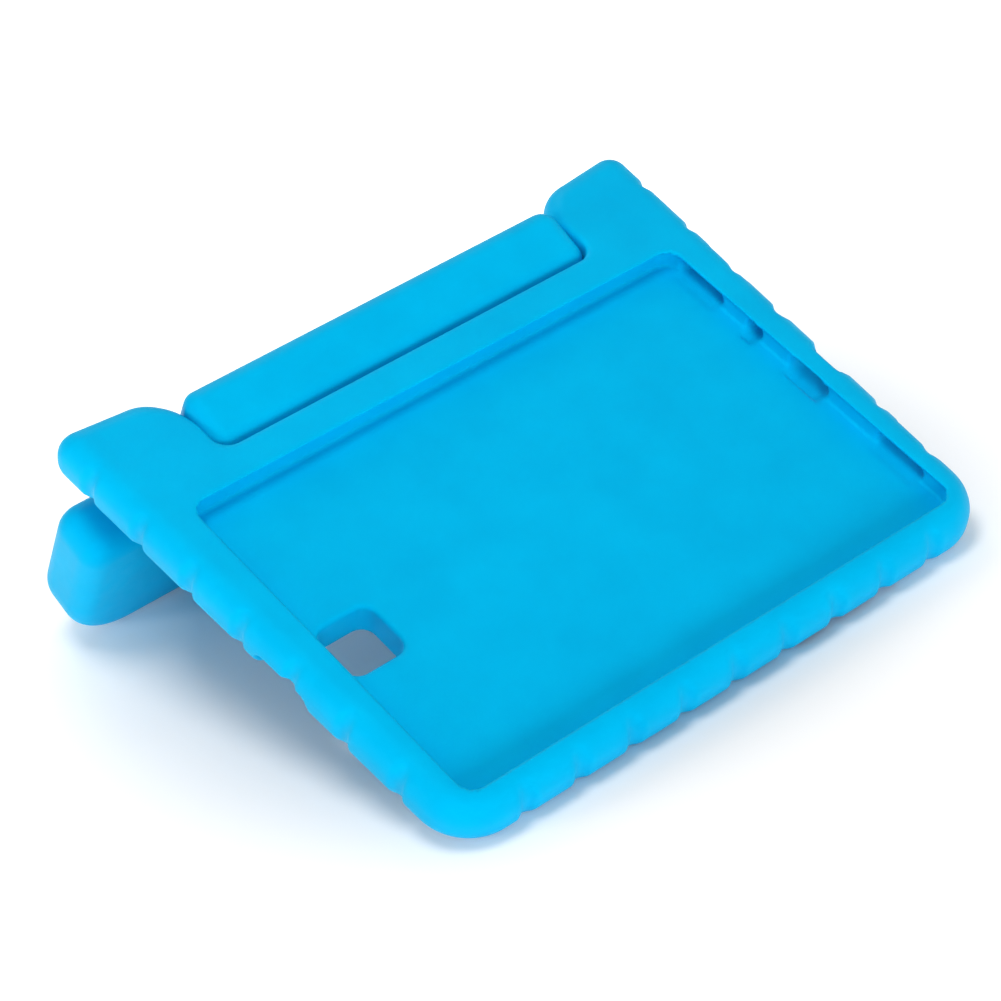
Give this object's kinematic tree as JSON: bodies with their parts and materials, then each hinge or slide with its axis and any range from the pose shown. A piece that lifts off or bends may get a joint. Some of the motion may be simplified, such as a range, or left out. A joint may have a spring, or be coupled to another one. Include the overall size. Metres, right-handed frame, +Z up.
{
  "type": "tablet case",
  "caption": "Soft foam case for a tablet, with a scalloped edge and a hinged carry handle that folds under it as a tilted stand.",
  "frame": {"origin": "on the surface it stands on, under the middle of its bounding box", "axes": "+X along the long side of the tablet, to the right of someone facing the screen from the near edge; +Y from the near edge to the handle; +Z up. The case stands tipped 22.6 degrees about X on its near edge and the handle's grip."},
  "size_m": [0.2916, 0.2628, 0.1046],
  "materials": {
    "foam": "satin closed-cell foam",
    "nylon": "matt",
    "steel": "ground",
    "felt": "pressed felt"
  },
  "bodies": {
    "case": {"case_body": "foam", "ear_sleeve_left": "nylon", "ear_sleeve_right": "nylon", "friction_washer_left": "felt", "friction_washer_right": "felt"},
    "handle": {"handle_foam": "foam", "hinge_rod": "steel", "handle_collar_left": "nylon", "handle_collar_right": "nylon"}
  },
  "joints": [
    {"name": "handle_swing", "type": "hinge", "parent": "case", "child": "handle", "pos_m": [0, 0.06334, 0.08753], "axis": [1, 0, 0], "range_deg": [-20, 76.5]}
  ]
}
